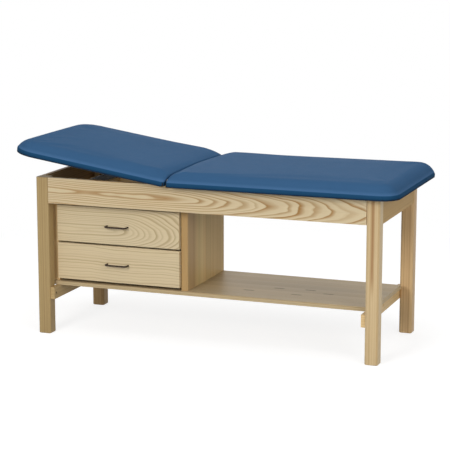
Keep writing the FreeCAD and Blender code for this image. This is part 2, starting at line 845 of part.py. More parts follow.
def with_backrest(shape):
    """Turns a piece that was built with the backrest flat to the rest pose."""
    turned_shape = shape.copy()
    turned_shape.rotate(Vector(hinge_x, 0, hinge_z), axis_y, rest_angle)
    return turned_shape


def pivot_at_rest():
    start = Vector(pivot_flat_x - hinge_x, 0, pivot_flat_z - hinge_z)
    x = start.x * math.cos(rest_radians) + start.z * math.sin(rest_radians)
    z = start.z * math.cos(rest_radians) - start.x * math.sin(rest_radians)
    return hinge_x + x, hinge_z + z


def with_prop(shape):
    """Carries a prop piece with the backrest, then swings it back about its own pin."""
    swung = with_backrest(shape)
    x, z = pivot_at_rest()
    swung.rotate(Vector(x, 0, z), axis_y, -2 * rest_angle)
    return swung


def build_frame(nodes):
    dowels = rail_dowels()
    bolts = []
    bolt_ways = []
    for head_end in (True, False):
        bolt, ways = stretcher_bolt(head_end)
        bolts += with_back(bolt)
        for way in ways:
            bolt_ways += with_back(way)
    corner_blocks = []
    corner_screws = []
    corner_ways = []
    for head_end in (True, False):
        corner_blocks += with_back(corner_block(head_end))
        screws, ways = corner_block_screws(head_end)
        for screw in screws:
            corner_screws += with_back(screw)
        for way in ways:
            corner_ways += with_back(way)
    for head_end, end_name in ((True, "head"), (False, "foot")):
        for front_side, side_name in ((True, "front"), (False, "back")):
            nodes["leg_" + end_name + "_" + side_name] = cut_by(leg(head_end, front_side), dowels + bolts)
        nodes[end_name + "_apron"] = cut_by(apron(head_end), dowels + corner_screws)
        nodes[end_name + "_stretcher"] = cut_by(stretcher(head_end), bolts + bolt_ways)
    nodes["rail_dowels"] = group(dowels)
    nodes["stretcher_bolts"] = group(bolts)
    nodes["corner_blocks"] = group([cut_by(piece, corner_screws + corner_ways) for piece in corner_blocks])
    return dowels, corner_screws


def build_all():
    nodes = {}
    dowels, corner_screws = build_frame(nodes)

    brackets = []
    bracket_screws = []
    for share in bracket_shares:
        angle, screws = board_bracket(share)
        brackets += with_back(cut_by(angle, screws))
        for screw in screws:
            bracket_screws += with_back(screw)
    racks_screws = []
    for screw in rack_screws():
        racks_screws += with_back(screw)
    cabinet_fixings = cabinet_screws()

    rail = long_rail()
    rail_tools = dowels + corner_screws + bracket_screws + racks_screws
    nodes["front_rail"] = cut_by(rail, rail_tools)
    nodes["back_rail"] = cut_by(mirror_y(rail), rail_tools)
    for name, x_low, z_low, z_high in cross_rail_places():
        nodes[name] = cut_by(cross_rail(x_low, z_low, z_high), dowels + cabinet_fixings)

    pocket_screws = []
    pockets = []
    for head_end in (True, False):
        for share in pocket_shares:
            screw, pocket = shelf_pocket(head_end, share)
            pocket_screws.append(screw)
            pockets.append(pocket)
    for end_name in ("head", "foot"):
        nodes[end_name + "_stretcher"] = cut_by(nodes[end_name + "_stretcher"], pocket_screws + pockets)
    nodes["shelf"] = cut_by(shelf_board(), pocket_screws + cabinet_fixings)
    nodes["shelf_screws"] = group(pocket_screws)

    nodes["cabinet_side_head"] = cut_by(cabinet_side(True), cabinet_fixings)
    nodes["cabinet_side_foot"] = cut_by(cabinet_side(False), cabinet_fixings)
    nodes["cabinet_top"] = cut_by(cabinet_top(), cabinet_fixings)
    nodes["cabinet_back"] = cabinet_back()
    nodes["cabinet_screws"] = group(cabinet_fixings)
    nodes["cabinet_slides"] = group(fixed_slides(lower_drawer_bottom) + fixed_slides(upper_drawer_bottom))
    nodes.update(drawer("upper_drawer", upper_drawer_bottom))
    nodes.update(drawer("lower_drawer", lower_drawer_bottom))

    main_joint = hinge_x + knuckle_radius
    main_end = main_joint + main_length
    main_leaf_screws = leaf_screws(True)
    main_board = board_shape(main_joint, main_end, frame_height)
    main_body = crowned_body(main_joint, main_end, frame_height)
    nodes["main_board"] = cut_by(main_board, bracket_screws + main_leaf_screws)
    nodes["main_cushion"] = cut_by(main_body.cut(main_board), main_leaf_screws)
    nodes["board_brackets"] = group(brackets)
    nodes["frame_screws"] = group(corner_screws + bracket_screws + racks_screws)
    nodes["hinge_leaf_main"] = cut_by(hinge_leaf(True), main_leaf_screws)
    nodes["hinge_screws_main"] = group(main_leaf_screws)
    half_hinge = hinge_length / 2
    nodes["hinge_pin"] = rod((hinge_x, -half_hinge, hinge_z), (hinge_x, half_hinge, hinge_z), hinge_pin_radius)

    rack = cut_by(rack_shape(), racks_screws)
    nodes["rack_front"] = rack
    nodes["rack_back"] = mirror_y(rack)

    back_joint = hinge_x - knuckle_radius
    back_end = back_joint - back_length
    back_leaf_screws = leaf_screws(False)
    ear_screws = []
    for screw in prop_ear_screws():
        ear_screws += with_back(screw)
    back_board = board_shape(back_joint, back_end, back_underside)
    back_body = crowned_body(back_joint, back_end, back_underside)
    on_backrest = {
        "backrest_board": cut_by(back_board, back_leaf_screws + ear_screws),
        "backrest_cushion": cut_by(back_body.cut(back_board), back_leaf_screws),
        "hinge_leaf_back": cut_by(hinge_leaf(False), back_leaf_screws),
        "hinge_screws_back": group(back_leaf_screws),
        "prop_ears": group([cut_by(piece, ear_screws) for piece in with_back(prop_ear())]),
        "prop_ear_screws": group(ear_screws),
        "prop_pins": group(with_back(prop_pin())),
    }
    for name, shape in on_backrest.items():
        nodes[name] = with_backrest(shape)

    foot_rod = prop_rod()
    arm = prop_arm().cut(foot_rod)
    on_prop = {"prop_arm_front": arm, "prop_arm_back": mirror_y(arm), "prop_rod": foot_rod}
    for name, shape in on_prop.items():
        nodes[name] = with_prop(shape)
    return nodes


def main():
    os.makedirs("parts", exist_ok=True)
    nodes = build_all()
    for name, shape in nodes.items():
        shape.exportStep("parts/" + name + ".step")
        print(name, len(shape.Solids), shape.isValid())
    print("nodes", len(nodes))
    whole = Part.makeCompound(list(nodes.values())).BoundBox
    print("box", [round(v, 2) for v in (whole.XMin, whole.YMin, whole.ZMin, whole.XMax, whole.YMax, whole.ZMax)])


main()
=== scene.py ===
import math

import bmesh
import bpy
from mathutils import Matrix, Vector


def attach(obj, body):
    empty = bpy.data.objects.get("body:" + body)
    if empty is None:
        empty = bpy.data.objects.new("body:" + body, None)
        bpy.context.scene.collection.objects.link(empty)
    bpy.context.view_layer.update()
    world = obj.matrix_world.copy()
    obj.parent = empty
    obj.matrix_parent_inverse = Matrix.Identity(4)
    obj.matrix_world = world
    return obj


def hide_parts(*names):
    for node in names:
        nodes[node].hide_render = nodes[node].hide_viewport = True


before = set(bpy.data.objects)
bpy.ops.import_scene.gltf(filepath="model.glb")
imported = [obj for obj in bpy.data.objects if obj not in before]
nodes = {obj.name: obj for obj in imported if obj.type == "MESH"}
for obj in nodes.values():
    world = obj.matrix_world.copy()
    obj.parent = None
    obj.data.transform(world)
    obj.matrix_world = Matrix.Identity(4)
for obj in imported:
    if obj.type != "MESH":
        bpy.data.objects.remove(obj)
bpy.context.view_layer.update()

print("frame loaded,", len(nodes), "nodes")


class Wire:
    # A socket of a node tree. Sums of wires add Math nodes.
    def __init__(self, tree, socket=None):
        self.tree = tree
        self.socket = socket

    def node(self, kind, settings=None, inputs=None, output=0):
        made = self.tree.nodes.new(kind)
        for name, value in (settings or {}).items():
            if name == "stops":
                fillRamp(made.color_ramp, value)
            else:
                setattr(made, name, value)
        for key, value in (inputs or {}).items():
            if isinstance(value, Wire):
                self.tree.links.new(value.socket, made.inputs[key])
            else:
                made.inputs[key].default_value = value
        return Wire(self.tree, made.outputs[output])

    def also(self, output):
        return Wire(self.tree, self.socket.node.outputs[output])

    def maths(self, operation, *values):
        return self.node("ShaderNodeMath", {"operation": operation}, dict(enumerate(values)))

    def __add__(self, other):
        return self.maths("ADD", self, other)

    def __radd__(self, other):
        return self.maths("ADD", other, self)

    def __sub__(self, other):
        return self.maths("SUBTRACT", self, other)

    def __rsub__(self, other):
        return self.maths("SUBTRACT", other, self)

    def __mul__(self, other):
        return self.maths("MULTIPLY", self, other)

    def __rmul__(self, other):
        return self.maths("MULTIPLY", other, self)

    def __truediv__(self, other):
        return self.maths("DIVIDE", self, other)

    def __rtruediv__(self, other):
        return self.maths("DIVIDE", other, self)

    def __pow__(self, other):
        return self.maths("POWER", self, other)

    def ramp(self, low, high):
        # eases from 0 to 1 while the wire goes from low to high
        inputs = {"Value": self, "From Min": low, "From Max": high, "To Min": 0.0, "To Max": 1.0}
        return self.node("ShaderNodeMapRange", {"interpolation_type": "SMOOTHSTEP"}, inputs)

    def vector(self, x, y, z):
        return self.node("ShaderNodeCombineXYZ", inputs={"X": x, "Y": y, "Z": z})

    def noise(self, place, scale=1.0, detail=2.0, roughness=0.5):
        inputs = {"Vector": place, "Scale": scale, "Detail": detail, "Roughness": roughness}
        return self.node("ShaderNodeTexNoise", inputs=inputs)

    def dice(self, number):
        # one value between 0 and 1 for each whole number
        return self.node("ShaderNodeTexWhiteNoise", {"noise_dimensions": "1D"}, {"W": number})

    def sway(self, size):
        # 0 to 1 becomes half of size either way
        return (self - 0.5) * size

    def mixColour(self, factor, first, second, blend="MIX"):
        # sockets 0, 6 and 7 are the factor and the two colours, 2 is the mixed colour
        settings = {"data_type": "RGBA", "blend_type": blend}
        return self.node("ShaderNodeMix", settings, {0: factor, 6: first, 7: second}, 2)


def fillRamp(ramp, stops):
    # stops are (place, colour) pairs
    for place, colour in stops[2:]:
        ramp.elements.new(place)
    for element, (place, colour) in zip(ramp.elements, stops):
        element.position = place
        element.color = colour


def paint(red, green, blue):
    # a colour as a picture shows it, made linear for the shader
    def straight(value):
        value = value / 255
        return value / 12.92 if value <= 0.04045 else ((value + 0.055) / 1.055) ** 2.4

    return (straight(red), straight(green), straight(blue), 1.0)


def grey(value):
    return (value, value, value, 1.0)


def newMaterial(name, fixed):
    # fixed holds what is the same all over the surface, by the shader's own socket names
    material = bpy.data.materials.new(name)
    material.use_nodes = True
    tree = material.node_tree
    shader = tree.nodes["Principled BSDF"]
    for socket, value in fixed.items():
        shader.inputs[socket].default_value = value
    start = Wire(tree)
    place = start.node("ShaderNodeTexCoord", output="Object")
    return material, start, place, shader


def feed(wire, shader, socket):
    wire.tree.links.new(wire.socket, shader.inputs[socket])


def bumpInto(shader, height, distance):
    bump = height.node("ShaderNodeBump", inputs={"Height": height, "Distance": distance, "Strength": 1.0})
    feed(bump, shader, "Normal")


# Wood. Each board is cut out of a log: rings about a pith that runs beside the board,
# nearly along its grain. Lengths in metres.
woodLook = {
    "grain": "xzy",        # along the fibres, across the face, into the board
    "pith": (0.0, 0.06),   # across and depth of the pith from the origin's axes
    "tilt": 0.0,           # how fast the pith runs away from the face, along the board
    "tiltFrom": 0.0,
    "nearest": 0.03,       # the pith never comes closer to the face than this
    "slope": 0.0,          # how fast the pith wanders across the face
    "swerve": (9.0, 0.0),  # above this place across, the arches lean the other way
    "spacing": 0.0045,     # from one ring to the next
    "uneven": 1.1,         # how much the rings differ in width
    "unevenFine": 60.0,    # how often they do, over a metre of the log
    "wander": (1.6, 14.0, 0.004),  # waves a metre along and across, and their depth
    "strip": 0.0,          # width of the glued strips of a panel, 0 for one board
    "stripShift": (3.0, 7.3),      # how far apart in the log the strips were cut, in strips across and metres along
    "stripShade": 0.16,
    "light": paint(222, 200, 160),
    "middle": paint(206, 178, 130),
    "dark": paint(172, 134, 82),
    "lines": 0.8,          # how dark the rings are drawn
    "patch": 0.10,         # how much the tone drifts
    "streaks": (),
    "seed": 1.0,
    "fibre": (5.0, 420.0),  # how fine along and across the grain, as the next two are
    "pore": (70.0, 1500.0),
    "cloud": (2.2, 9.0),
    # a year's ring from its inner side out, and how dark it is there
    "ringShape": ((0.0, 0.15), (0.09, 1.0), (0.26, 0.72), (0.52, 0.12), (0.9, 0.0), (1.0, 0.15)),
    "fibreShade": 0.22,
    "poreShade": 0.35,
    "roughness": 0.46,
    "shine": 0.16,
    "relief": 0.00012,
}


def grainPlace(along, across, deep, fineness, shift=0.0):
    # a place for a noise that is stretched along the grain
    alongFine, acrossFine = fineness
    return along.vector(along * alongFine + shift, across * acrossFine, deep * acrossFine)


def pithDistance(along, across, deep, face, look):
    # how far a point of the board lies from the middle of the log
    flow = grainPlace(along, across, deep, look["wander"][:2], look["seed"] * 3.7)
    wander = along.noise(flow).sway(look["wander"][2])
    swerveFrom, swerveSize = look["swerve"]
    lean = along
    if swerveSize:
        over = face - swerveFrom
        over = over.maths("MAXIMUM", over, 0.0)
        lean = along - over * over * swerveSize
    pithAcross, pithDeep = look["pith"]
    sideways = across - pithAcross - (along - look["tiltFrom"]) * look["slope"]
    away = (lean - look["tiltFrom"]) * look["tilt"] + (deep - pithDeep)
    away = away.maths("SMOOTH_MAX", away, look["nearest"], look["nearest"])
    return (sideways * sideways + away * away) ** 0.5 + wander


def ringBand(radius, look):
    # the dark late wood of each year, and a lot for each year
    widthInputs = {"W": radius * look["unevenFine"] + look["seed"], "Scale": 1.0, "Detail": 1.0}
    width = radius.node("ShaderNodeTexNoise", {"noise_dimensions": "1D"}, widthInputs)
    turn = radius / look["spacing"] + width.sway(look["uneven"] * 2.0)
    year = radius.dice(turn.maths("FLOOR", turn) + look["seed"])
    stops = [(place, grey(value)) for place, value in look["ringShape"]]
    band = radius.node("ShaderNodeValToRGB", {"stops": stops}, {0: turn.maths("FRACT", turn)})
    return band, year


def streakMask(streak, along, face, fibre):
    # a mineral streak along the grain, soft at its ends and broken by the fibres
    offset = (face - streak["place"] + fibre.sway(streak["width"] * 0.5)) / streak["width"]
    body = offset.maths("ABSOLUTE", offset).ramp(1.0, 0.35)
    low, high = streak["reach"]
    fade = (high - low) * 0.2
    return body * along.ramp(low, low + fade) * along.ramp(high, high - fade) * streak["strength"]


def woodMaterial(name, board):
    look = dict(woodLook, **board)
    fixed = {"Specular IOR Level": look["shine"], "Coat Roughness": 0.28, "Coat IOR": 1.45}
    material, start, place, shader = newMaterial(name, fixed)
    x = start.node("ShaderNodeSeparateXYZ", inputs={0: place})
    letters = {"x": x, "y": x.also(1), "z": x.also(2)}
    length, face, deep = (letters[letter] for letter in look["grain"])
    along, across = length, face
    if look["strip"]:
        # each glued strip comes from another place in the log, and the seed says where the first one starts
        shiftAcross, shiftAlong = look["stripShift"]
        count = across / look["strip"] + look["seed"] * 0.37
        lot = start.dice(count.maths("FLOOR", count) + look["seed"])
        across = across + lot.sway(look["strip"] * shiftAcross)
        along = along + lot * shiftAlong
    band, year = ringBand(pithDistance(along, across, deep, face, look), look)
    fibre = start.noise(grainPlace(along, across, deep, look["fibre"]), detail=3.0, roughness=0.65)
    pore = start.noise(grainPlace(along, across, deep, look["pore"], 9.0), detail=1.0).ramp(0.62, 0.74)
    cloud = start.noise(grainPlace(along, across, deep, look["cloud"], look["seed"]))
    lines = band * (year * 0.75 + 0.35) * look["lines"] * (fibre * 0.7 + 0.65)

    colour = start.mixColour(cloud.sway(look["patch"] * 8.0) + 0.35, look["light"], look["middle"])
    colour = start.mixColour(lines.maths("MINIMUM", lines, 1.0), colour, look["dark"])
    for streak in look["streaks"]:
        colour = start.mixColour(streakMask(streak, length, face, fibre), colour, streak["colour"])
    colour = start.mixColour(pore * band * look["poreShade"], colour, look["dark"])
    shade = fibre.sway(look["fibreShade"]) + cloud.sway(look["patch"]) + 1.0
    if look["strip"]:
        shade = shade + lot.sway(look["stripShade"])
    shadeColour = start.node("ShaderNodeCombineColor", inputs={0: shade, 1: shade, 2: shade})
    feed(start.mixColour(1.0, colour, shadeColour, "MULTIPLY"), shader, "Base Color")
    feed(look["roughness"] + fibre.sway(0.16) + lines * 0.08, shader, "Roughness")
    feed(look["shine"] * 0.4 - lines * 0.03, shader, "Coat Weight")
    bumpInto(shader, 1.0 - lines * 0.5 - pore * 0.5 + fibre * 0.35, look["relief"])
    return material


boardLooks = {
    "front_rail": {
        "grain": "xzy", "pith": (0.662, -0.340), "tilt": 0.105, "tiltFrom": -0.05, "nearest": 0.022,
        "slope": -0.012, "spacing": 0.0070, "uneven": 0.7, "wander": (3.6, 17.0, 0.015), "lines": 1.0, "seed": 4.0,
        "light": paint(225, 208, 172), "middle": paint(207, 184, 142), "dark": paint(166, 124, 72),
    },
    "back_rail": {"grain": "xzy", "pith": (0.64, 0.4), "tilt": 0.03, "seed": 9.0},
    "head_apron": {
        "grain": "yzx", "pith": (0.70, -0.74), "seed": 11.0, "shine": 0.08,
        "light": paint(204, 172, 126), "middle": paint(186, 152, 104), "dark": paint(150, 112, 66),
    },
    "foot_apron": {
        "grain": "yzx", "pith": (0.60, 0.75), "seed": 12.0, "lines": 0.5, "shine": 0.08,
        "light": paint(196, 160, 98), "middle": paint(178, 141, 80), "dark": paint(146, 107, 56),
    },
    "joint_rail": {"grain": "yzx", "pith": (0.70, -0.2), "seed": 13.0},
    "middle_rail": {"grain": "yzx", "pith": (0.60, 0.2), "seed": 14.0},
    "cabinet_rail": {"grain": "yzx", "pith": (0.60, -0.7), "seed": 15.0},
    "corner_blocks": {"grain": "zxy", "pith": (0.3, 0.3), "seed": 16.0},
    "rail_dowels": {"grain": "xzy", "pith": (0.6, 0.4), "spacing": 0.002, "seed": 17.0},
    "leg_head_front": {
        "grain": "zxy", "pith": (-0.70, -0.21), "spacing": 0.0065, "seed": 21.0, "lines": 0.7,
        "light": paint(186, 162, 116), "middle": paint(168, 141, 95), "dark": paint(140, 106, 63),
    },
    "leg_head_back": {
        "grain": "zxy", "pith": (-0.80, 0.40), "spacing": 0.0055, "seed": 22.0,
        "light": paint(184, 154, 110), "middle": paint(164, 134, 90), "dark": paint(128, 96, 58),
    },
    "leg_foot_front": {
        "grain": "zxy", "pith": (0.74, -0.24), "spacing": 0.006, "seed": 23.0, "lines": 0.7,
        "streaks": (
            {"place": 0.7870, "width": 0.0110, "reach": (0.27, 0.86), "strength": 0.56, "colour": paint(160, 114, 66)},
            {"place": 0.7860, "width": 0.0045, "reach": (0.34, 0.84), "strength": 0.45, "colour": paint(140, 92, 50)},
        ),
    },
    "leg_foot_back": {
        "grain": "zxy", "pith": (0.86, 0.18), "spacing": 0.0055, "seed": 24.0, "lines": 0.6,
        "light": paint(222, 192, 144), "middle": paint(208, 170, 122), "dark": paint(166, 122, 80),
    },
    "head_stretcher": {
        "grain": "yzx", "pith": (0.30, -0.72), "seed": 31.0, "shine": 0.10,
        "light": paint(200, 174, 126), "middle": paint(184, 156, 106), "dark": paint(146, 114, 68),
    },
    "foot_stretcher": {
        "grain": "yzx", "pith": (0.10, 0.78), "seed": 32.0,
        "light": paint(236, 208, 156), "middle": paint(222, 188, 134), "dark": paint(182, 142, 88),
    },
    "shelf": {
        "grain": "xyz", "pith": (0.0, 0.12), "strip": 0.076, "seed": 41.0, "patch": 0.12, "shine": 0.10,
        "light": paint(208, 188, 150), "middle": paint(190, 166, 124), "dark": paint(152, 121, 82),
        "streaks": tuple(
            {"place": y, "width": 0.008, "reach": (x - 0.030, x + 0.030), "strength": 0.9, "colour": paint(116, 98, 62)}
            for x, y in ((0.165, -0.125), (0.282, -0.045), (0.425, -0.032), (0.392, -0.135), (0.522, -0.076))
        ),
    },
    "cabinet_side_head": {
        "grain": "zyx", "pith": (0.0, -0.60), "strip": 0.068, "seed": 51.0,
        "light": paint(236, 204, 150), "middle": paint(222, 186, 132), "dark": paint(176, 136, 88),
    },
    "cabinet_side_foot": {
        "grain": "zyx", "pith": (0.0, -0.02), "strip": 0.068, "seed": 52.0, "shine": 0.08,
        "light": paint(226, 200, 144), "middle": paint(212, 180, 124), "dark": paint(170, 132, 82),
        "streaks": (
            {"place": -0.190, "width": 0.066, "reach": (-0.5, 1.5), "strength": 0.62, "colour": paint(176, 142, 104)},
            {"place": -0.164, "width": 0.003, "reach": (-0.5, 1.5), "strength": 0.45, "colour": paint(124, 92, 56)},
            {"place": -0.082, "width": 0.052, "reach": (-0.5, 1.5), "strength": 0.55, "colour": paint(214, 192, 136)},
        ),
    },
    "cabinet_top": {"grain": "xyz", "pith": (0.0, 0.7), "seed": 53.0},
    "cabinet_back": {"grain": "xzy", "pith": (0.4, 0.3), "seed": 54.0},
    "upper_drawer_front": {
        "grain": "xzy", "pith": (0.486, -0.262), "tilt": 0.26, "tiltFrom": -0.48, "nearest": 0.022,
        "swerve": (0.525, 26.0), "spacing": 0.0076, "uneven": 0.5, "wander": (3.2, 11.0, 0.012), "lines": 0.74,
        "seed": 61.0, "light": paint(222, 205, 170), "middle": paint(212, 192, 152), "dark": paint(168, 144, 102),
    },
    "lower_drawer_front": {
        "grain": "xzy", "pith": (-0.20, -0.42), "tilt": 0.012, "tiltFrom": -0.4, "nearest": 0.1,
        "spacing": 0.0122, "uneven": 0.5, "wander": (5.0, 8.0, 0.024), "lines": 0.64,
        "seed": 62.0, "light": paint(222, 204, 168), "middle": paint(212, 190, 150), "dark": paint(170, 146, 104),
    },
    "rack_front": {"grain": "xzy", "pith": (0.6, -0.4), "seed": 71.0},
    "rack_back": {"grain": "xzy", "pith": (0.6, 0.4), "seed": 72.0},
}
drawerBoards = (
    ("side_head", "yzx", (0.4, -0.6)), ("side_foot", "yzx", (0.4, -0.2)),
    ("back", "xzy", (0.4, 0.3)), ("bottom", "xyz", (0.0, 0.0)),
)
for drawer, seed in (("upper_drawer", 80.0), ("lower_drawer", 90.0)):
    for number, (part, grain, pith) in enumerate(drawerBoards):
        boardLooks[drawer + "_" + part] = {
            "grain": grain, "pith": pith, "seed": seed + number, "lines": 0.35, "roughness": 0.55,
            "light": paint(226, 206, 168), "middle": paint(216, 192, 150), "dark": paint(190, 160, 112),
        }


def dress(thing, material):
    thing.data.materials.clear()
    thing.data.materials.append(material)


for name, board in boardLooks.items():
    dress(nodes[name], woodMaterial("wood_" + name, board))
print("boards finished")


# Metals: base colour as seen, with fine scratches and lighter rubbed patches
metalLooks = {
    "bronze": {
        "colour": paint(62, 52, 46), "worn": paint(112, 92, 74),
        "metallic": 0.9, "roughness": 0.36, "grainScale": 900.0,
    },
    "blackSteel": {
        "colour": paint(24, 23, 23), "worn": paint(64, 60, 56),
        "metallic": 0.4, "roughness": 0.50, "grainScale": 700.0,
    },
    "hingeSteel": {
        "colour": paint(176, 172, 164), "worn": paint(206, 204, 198),
        "metallic": 1.0, "roughness": 0.34, "grainScale": 800.0,
    },
    "zincSteel": {
        "colour": paint(186, 187, 184), "worn": paint(214, 214, 210),
        "metallic": 1.0, "roughness": 0.38, "grainScale": 600.0,
    },
}


def metalMaterial(name, look):
    material, start, place, shader = newMaterial(name, {"Specular IOR Level": 0.5})
    rubbed = start.noise(place, scale=55.0, detail=4.0, roughness=0.6).ramp(0.52, 0.72)
    scratch = start.noise(place, scale=look["grainScale"])
    feed(start.mixColour(rubbed * 0.6, look["colour"], look["worn"]), shader, "Base Color")
    feed(look["roughness"] + scratch.sway(0.2) - rubbed * 0.08, shader, "Roughness")
    shader.inputs["Metallic"].default_value = look["metallic"]
    bumpInto(shader, scratch, 0.00003)
    return material


metals = {name: metalMaterial(name, look) for name, look in metalLooks.items()}
metalNodes = {
    "bronze": ["upper_drawer_pull", "lower_drawer_pull"],
    "blackSteel": ["prop_arm_front", "prop_arm_back", "prop_rod", "prop_ears", "prop_pins", "stretcher_bolts"],
    "hingeSteel": ["hinge_leaf_main", "hinge_leaf_back", "hinge_pin", "hinge_screws_main", "hinge_screws_back"],
    "zincSteel": [
        "frame_screws", "shelf_screws", "cabinet_screws", "prop_ear_screws", "cabinet_slides",
        "upper_drawer_slides", "lower_drawer_slides", "upper_drawer_pull_screws", "lower_drawer_pull_screws",
        "board_brackets",
    ],
}
for metal, names in metalNodes.items():
    for name in names:
        dress(nodes[name], metals[metal])
print("metals finished")


# Upholstery
vinylLook = {
    # deep is a painted shade for the hollows of the pebble grain
    "colour": paint(54, 88, 123), "deep": paint(41, 73, 107), "pale": paint(62, 96, 132),
    # the band colour is painted shade on the steep side band, and the rim colour a painted highlight just above it
    "band": paint(28, 68, 100), "rim": paint(76, 112, 152), "bandTop": 0.7450, "rimTop": 0.7610,
    "bandEdge": 0.0012, "rimStart": 0.002,
    "roughness": 0.50, "shine": 0.004, "pebble": 1100.0, "relief": 0.00006,
}


def vinylMaterial(look):
    material, start, place, shader = newMaterial("vinyl", {"Specular IOR Level": look["shine"]})
    cellInputs = {"Vector": place, "Scale": look["pebble"]}
    cells = start.node("ShaderNodeTexVoronoi", {"feature": "DISTANCE_TO_EDGE"}, cellInputs)
    pebble = cells.ramp(0.0, 0.35)
    cloud = start.noise(place, scale=4.5, detail=3.0, roughness=0.55)
    handled = start.noise(place, scale=26.0, detail=3.0, roughness=0.6)
    colour = start.mixColour(cloud.ramp(0.35, 0.7) * 0.22, look["colour"], look["pale"])
    # painted shade and painted highlight: the cover is drawn darker on the steep band over the board's edge, where less
    # light falls, and paler in a rim just above it, where the round catches the light
    height = start.node("ShaderNodeAttribute", {"attribute_name": "height"}, output=2)
    bandTop, bandEdge = look["bandTop"], look["bandEdge"]
    rim = height.ramp(look["rimTop"], bandTop + look["rimStart"])
    colour = start.mixColour(rim * 0.55, colour, look["rim"])
    colour = start.mixColour(height.ramp(bandTop + bandEdge, bandTop - bandEdge), colour, look["band"])
    # painted shade: the hollows between the pebbles are drawn in the darker deep colour
    colour = start.mixColour((1.0 - pebble) * 0.25, colour, look["deep"])
    feed(colour, shader, "Base Color")
    feed(look["roughness"] + handled.sway(0.10) - pebble.sway(0.04), shader, "Roughness")
    bumpInto(shader, pebble + cloud * 0.6, look["relief"])
    return material


vinyl = vinylMaterial(vinylLook)

# near-black: a dark cloth, darkened further as painted shade for the well under the backrest
dustClothLook = {"colour": paint(24, 22, 22), "thread": paint(40, 38, 38), "scale": 1400.0}


def dustClothMaterial(look):
    # the black cloth that closes the underside of the padded boards, made darker still as painted shade for the deep
    # well under the raised backrest
    material, start, place, shader = newMaterial("dustClothAndShade", {"Specular IOR Level": 0.2})
    fuzz = start.noise(place, scale=look["scale"])
    weave = start.noise(place, scale=look["scale"] * 0.25, detail=3.0)
    feed(start.mixColour(fuzz.ramp(0.35, 0.7), look["colour"], look["thread"]), shader, "Base Color")
    feed(0.85 + weave.sway(0.2), shader, "Roughness")
    bumpInto(shader, fuzz + weave, 0.00008)
    return material


dustClothAndShade = dustClothMaterial(dustClothLook)
dress(nodes["main_board"], dustClothAndShade)
dress(nodes["backrest_board"], dustClothAndShade)

# Lengths in metres. The steep band lies over the board's edge, and the long round rises above it.
cushionLook = {
    "halfWidth": 0.381, "bottom": 0.724, "hinge": (-0.135829, 0.751),
    "band": 0.0205, "rise": 0.0395, "lean": math.radians(30), "crown": 0.002,
    "jointFall": 0.18, "cornerFall": 0.40, "cornerReach": 0.120,  # how much lower the top is at the joint
    "jointCorner": 0.012, "smallestCorner": 0.002, "cornerSteps": 8, "sideSteps": 40,
    # inset of each ring and its share of the height there: underside, band, then the long round
    "edge": ((0.02, 0.0), (0.004, 0.0), (0.0012, 0.06), (0.0, 0.2), (0.0, 0.6), (0.0, 1.0)),
    "topInsets": (
        0.003, 0.007, 0.012, 0.018, 0.026, 0.036, 0.048, 0.064,
        0.085, 0.12, 0.17, 0.23, 0.29, 0.34, 0.37,
    ),
    "voxel": 0.007, "shrink": 0.0008, "heldBelow": 0.002, "heldAtJoint": 0.004,
    "pressure": 4.0, "stiffness": 40.0, "bending": 2.0, "steps": 20, "cap": 0.0025,
    # the underside is tucked up into the board, so that only its edge shows
    "clear": 0.0002, "tuck": 0.008, "tuckBelow": 0.0035, "tuckTo": 0.004,
    "margin": 0.028, "marginThick": 0.0008, "marginInset": 0.0012, "marginFromJoint": 0.012,
    "restTurn": math.radians(8.6), "lift": 0.0004,  # of the backrest
}
# joint and end are measured from the hinge
mainShape = {"joint": 0.003, "end": 1.035, "outerCorner": 0.082, "jointReach": 0.066, "fuller": 0.007}
backShape = {"joint": -0.003, "end": -0.768, "outerCorner": 0.128, "jointReach": 0.080, "fuller": 0.001}


def newObject(name, data):
    thing = bpy.data.objects.new(name, data)
    bpy.context.scene.collection.objects.link(thing)
    return thing


def sideOf(shape):
    # 1 towards the foot of the table, -1 towards its head
    return 1 if shape["end"] > 0 else -1


def roundedRing(low, high, radii, look):
    # points round a rectangle whose four corners have their own radii, anticlockwise from the low corner
    corners = [
        (low[0], low[1], radii[0], 180), (high[0], low[1], radii[1], 270),
        (high[0], high[1], radii[2], 0), (low[0], high[1], radii[3], 90),
    ]
    cornerSteps, sideSteps = look["cornerSteps"], look["sideSteps"]
    ends = []
    for x, y, radius, start in corners:
        radius = max(radius, look["smallestCorner"])
        cx = x + radius if x == low[0] else x - radius
        cy = y + radius if y == low[1] else y - radius
        arc = []
        for step in range(cornerSteps + 1):
            turn = math.radians(start + 90 * step / cornerSteps)
            arc.append((cx + radius * math.cos(turn), cy + radius * math.sin(turn)))
        ends.append(arc)
    points = []
    for number, arc in enumerate(ends):
        points += arc
        x0, y0 = arc[-1]
        x1, y1 = ends[(number + 1) % 4][0]
        for step in range(1, sideSteps):
            points.append((x0 + (x1 - x0) * step / sideSteps, y0 + (y1 - y0) * step / sideSteps))
    return points


def insideOf(x, y, shape, look):
    # how far a place lies inside the three outer sides, and how far from the joint
    side = sideOf(shape)
    fromJoint = (x - look["hinge"][0] - shape["joint"]) * side
    fromEnd = (look["hinge"][0] + shape["end"] - x) * side
    fromSide = look["halfWidth"] - abs(y)
    outer = shape["outerCorner"]
    if fromEnd < outer and fromSide < outer:
        return outer - math.hypot(outer - fromEnd, outer - fromSide), fromJoint
    return min(fromEnd, fromSide), fromJoint


